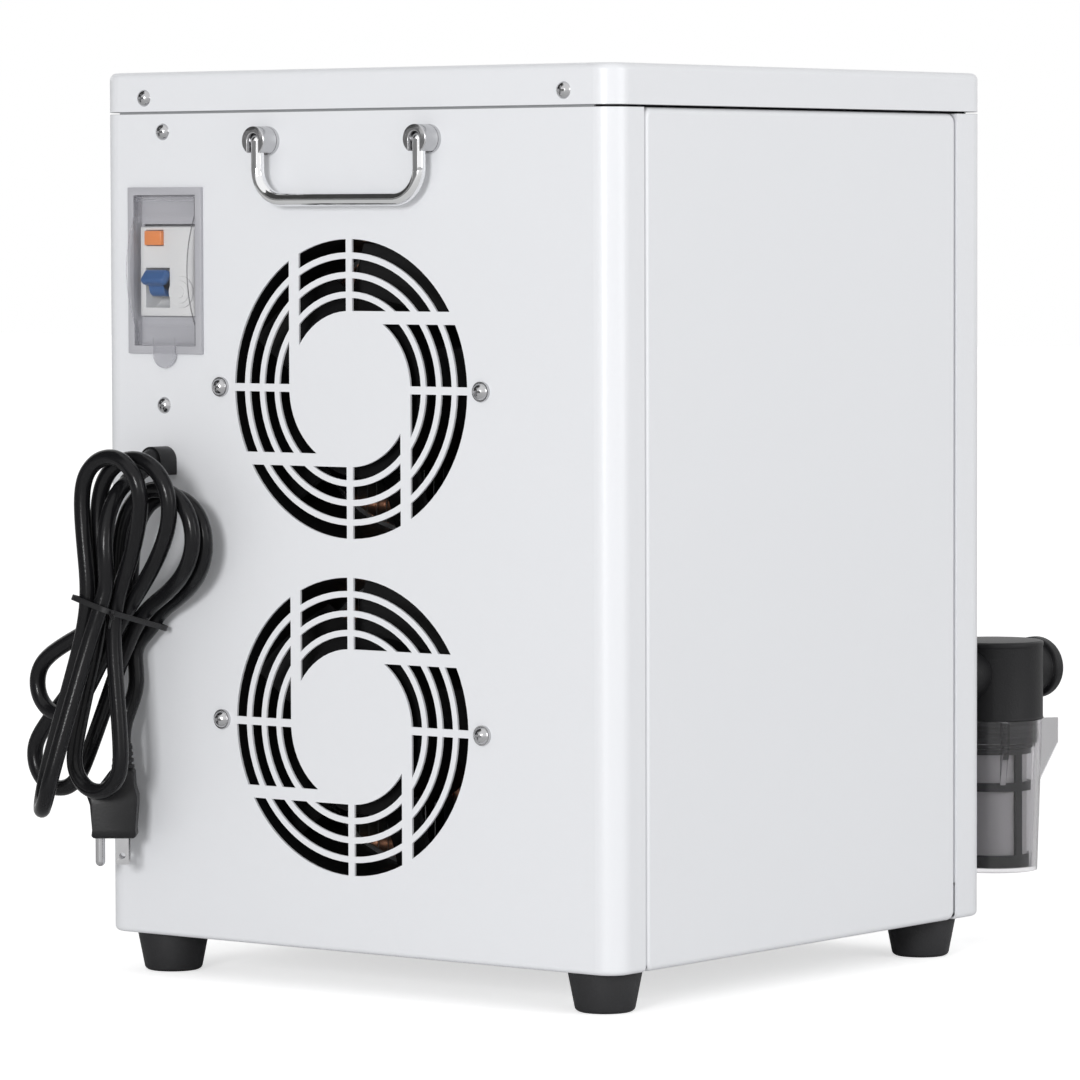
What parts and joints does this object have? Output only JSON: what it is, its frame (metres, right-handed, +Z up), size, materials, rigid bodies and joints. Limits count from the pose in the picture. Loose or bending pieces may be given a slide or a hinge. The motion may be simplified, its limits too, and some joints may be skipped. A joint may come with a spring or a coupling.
{
  "type": "ice bath chiller",
  "caption": "Compact ice bath water chiller in a white sheet-metal cabinet: twin fan grilles, swing handles, breaker window, water filter with clear bowl and coiled mains cord.",
  "frame": {"origin": "centre of the bounding box at the floor, measured without the mains cord", "axes": "+Z up from the feet; -Y out of the fan face with the grilles and breaker window, +Y out of the front face with the water filter; +X to the right seen from the fan face"},
  "size_m": [0.3511, 0.4754, 0.447],
  "materials": {
    "powder_coat": "gloss",
    "galvanised": "satin",
    "bright_steel": "polished",
    "black_plastic": "satin",
    "black_rubber": "matte",
    "clear_plastic": "clear",
    "bezel_plastic": "gloss",
    "breaker_white": "satin",
    "lever_blue": "satin",
    "button_orange": "satin",
    "fin_aluminium": "satin",
    "copper": "satin",
    "black_paint": "satin",
    "titanium": "satin",
    "shell_plastic": "matte",
    "hose_rubber": "matte",
    "mesh_steel": "satin",
    "board_green": "satin",
    "cord_pvc": "satin"
  },
  "bodies": {
    "cabinet": {"base_tray": "galvanised", "fan_panel": "powder_coat", "front_panel": "powder_coat", "side_panel_left": "powder_coat", "side_panel_right": "powder_coat", "top_cover": "powder_coat", "cover_screws": "bright_steel", "bracket_screws": "bright_steel", "fan_screws": "bright_steel", "fan_nuts": "bright_steel", "foot_fan_left": "black_rubber", "foot_fan_right": "black_rubber", "foot_front_left": "black_rubber", "foot_front_right": "black_rubber", "foot_screws": "bright_steel", "fan_side_bosses": "bright_steel", "front_side_bosses": "bright_steel", "handle_pins": "bright_steel", "breaker_bezel": "bezel_plastic", "breaker_body": "breaker_white", "din_rail": "galvanised", "breaker_bracket": "galvanised", "upper_fan_frame": "black_plastic", "lower_fan_frame": "black_plastic", "fan_shroud": "galvanised", "condenser_fins": "fin_aluminium", "condenser_tubes": "copper", "compressor": "black_paint", "compressor_mounts": "black_rubber", "evaporator_shell": "shell_plastic", "evaporator_coil": "titanium", "filter_drier": "copper", "refrigerant_lines": "copper", "pump": "black_plastic", "water_hoses": "hose_rubber", "inlet_fitting": "black_plastic", "outlet_fitting": "black_plastic", "filter_head": "black_plastic", "bowl_seal": "black_rubber", "control_board": "board_green", "display_module": "black_plastic", "capacitor": "fin_aluminium", "cord_gland": "cord_pvc", "cord_lead": "cord_pvc", "cord_hank": "cord_pvc", "cord_tail": "cord_pvc", "cord_tie": "cord_pvc", "cord_plug": "cord_pvc", "plug_prongs": "bright_steel"},
    "upper_fan": {"upper_fan_rotor": "black_plastic"},
    "lower_fan": {"lower_fan_rotor": "black_plastic"},
    "fan_side_handle": {"fan_side_bail": "bright_steel"},
    "front_side_handle": {"front_side_bail": "bright_steel"},
    "flap": {"breaker_flap": "clear_plastic"},
    "lever": {"breaker_lever": "lever_blue"},
    "button": {"test_button": "button_orange"},
    "strainer": {"strainer_cage": "black_plastic", "strainer_mesh": "mesh_steel"},
    "bowl": {"filter_bowl": "clear_plastic"}
  },
  "joints": [
    {"name": "upper_fan_spin", "type": "hinge", "parent": "cabinet", "child": "upper_fan", "pos_m": [0, -0.1685, 0.2928], "axis": [0, -1, 0], "continuous": true},
    {"name": "lower_fan_spin", "type": "hinge", "parent": "cabinet", "child": "lower_fan", "pos_m": [0, -0.1685, 0.1297], "axis": [0, -1, 0], "continuous": true},
    {"name": "fan_side_handle_swing", "type": "hinge", "parent": "cabinet", "child": "fan_side_handle", "pos_m": [0, -0.20676, 0.4125], "axis": [-1, 0, 0], "range_deg": [-7, 90]},
    {"name": "front_side_handle_swing", "type": "hinge", "parent": "cabinet", "child": "front_side_handle", "pos_m": [0, 0.12476, 0.4125], "axis": [1, 0, 0], "range_deg": [-7, 90]},
    {"name": "flap_hinge", "type": "hinge", "parent": "cabinet", "child": "flap", "pos_m": [-0.1158, -0.1991, 0.3846], "axis": [-1, 0, 0], "range_deg": [0, 100]},
    {"name": "lever_throw", "type": "hinge", "parent": "cabinet", "child": "lever", "pos_m": [-0.1228, -0.194, 0.341], "axis": [1, 0, 0], "range_deg": [0, 78]},
    {"name": "test_button_press", "type": "slide", "parent": "cabinet", "child": "button", "axis": [0, 1, 0], "range_m": [0, 0.0012], "stiffness_N_per_m": 400},
    {"name": "strainer_lift", "type": "slide", "parent": "cabinet", "child": "strainer", "axis": [0, 0, -1], "range_m": [0, 0.008]},
    {"name": "bowl_unscrew", "type": "hinge", "parent": "strainer", "child": "bowl", "pos_m": [0.13, 0.1675, 0.08], "axis": [0, 0, -1], "range_deg": [0, 720]}
  ],
  "couplings": [
    {"joint": "strainer_lift", "follows": "bowl_unscrew", "m_per_rad": 0.00063662}
  ]
}
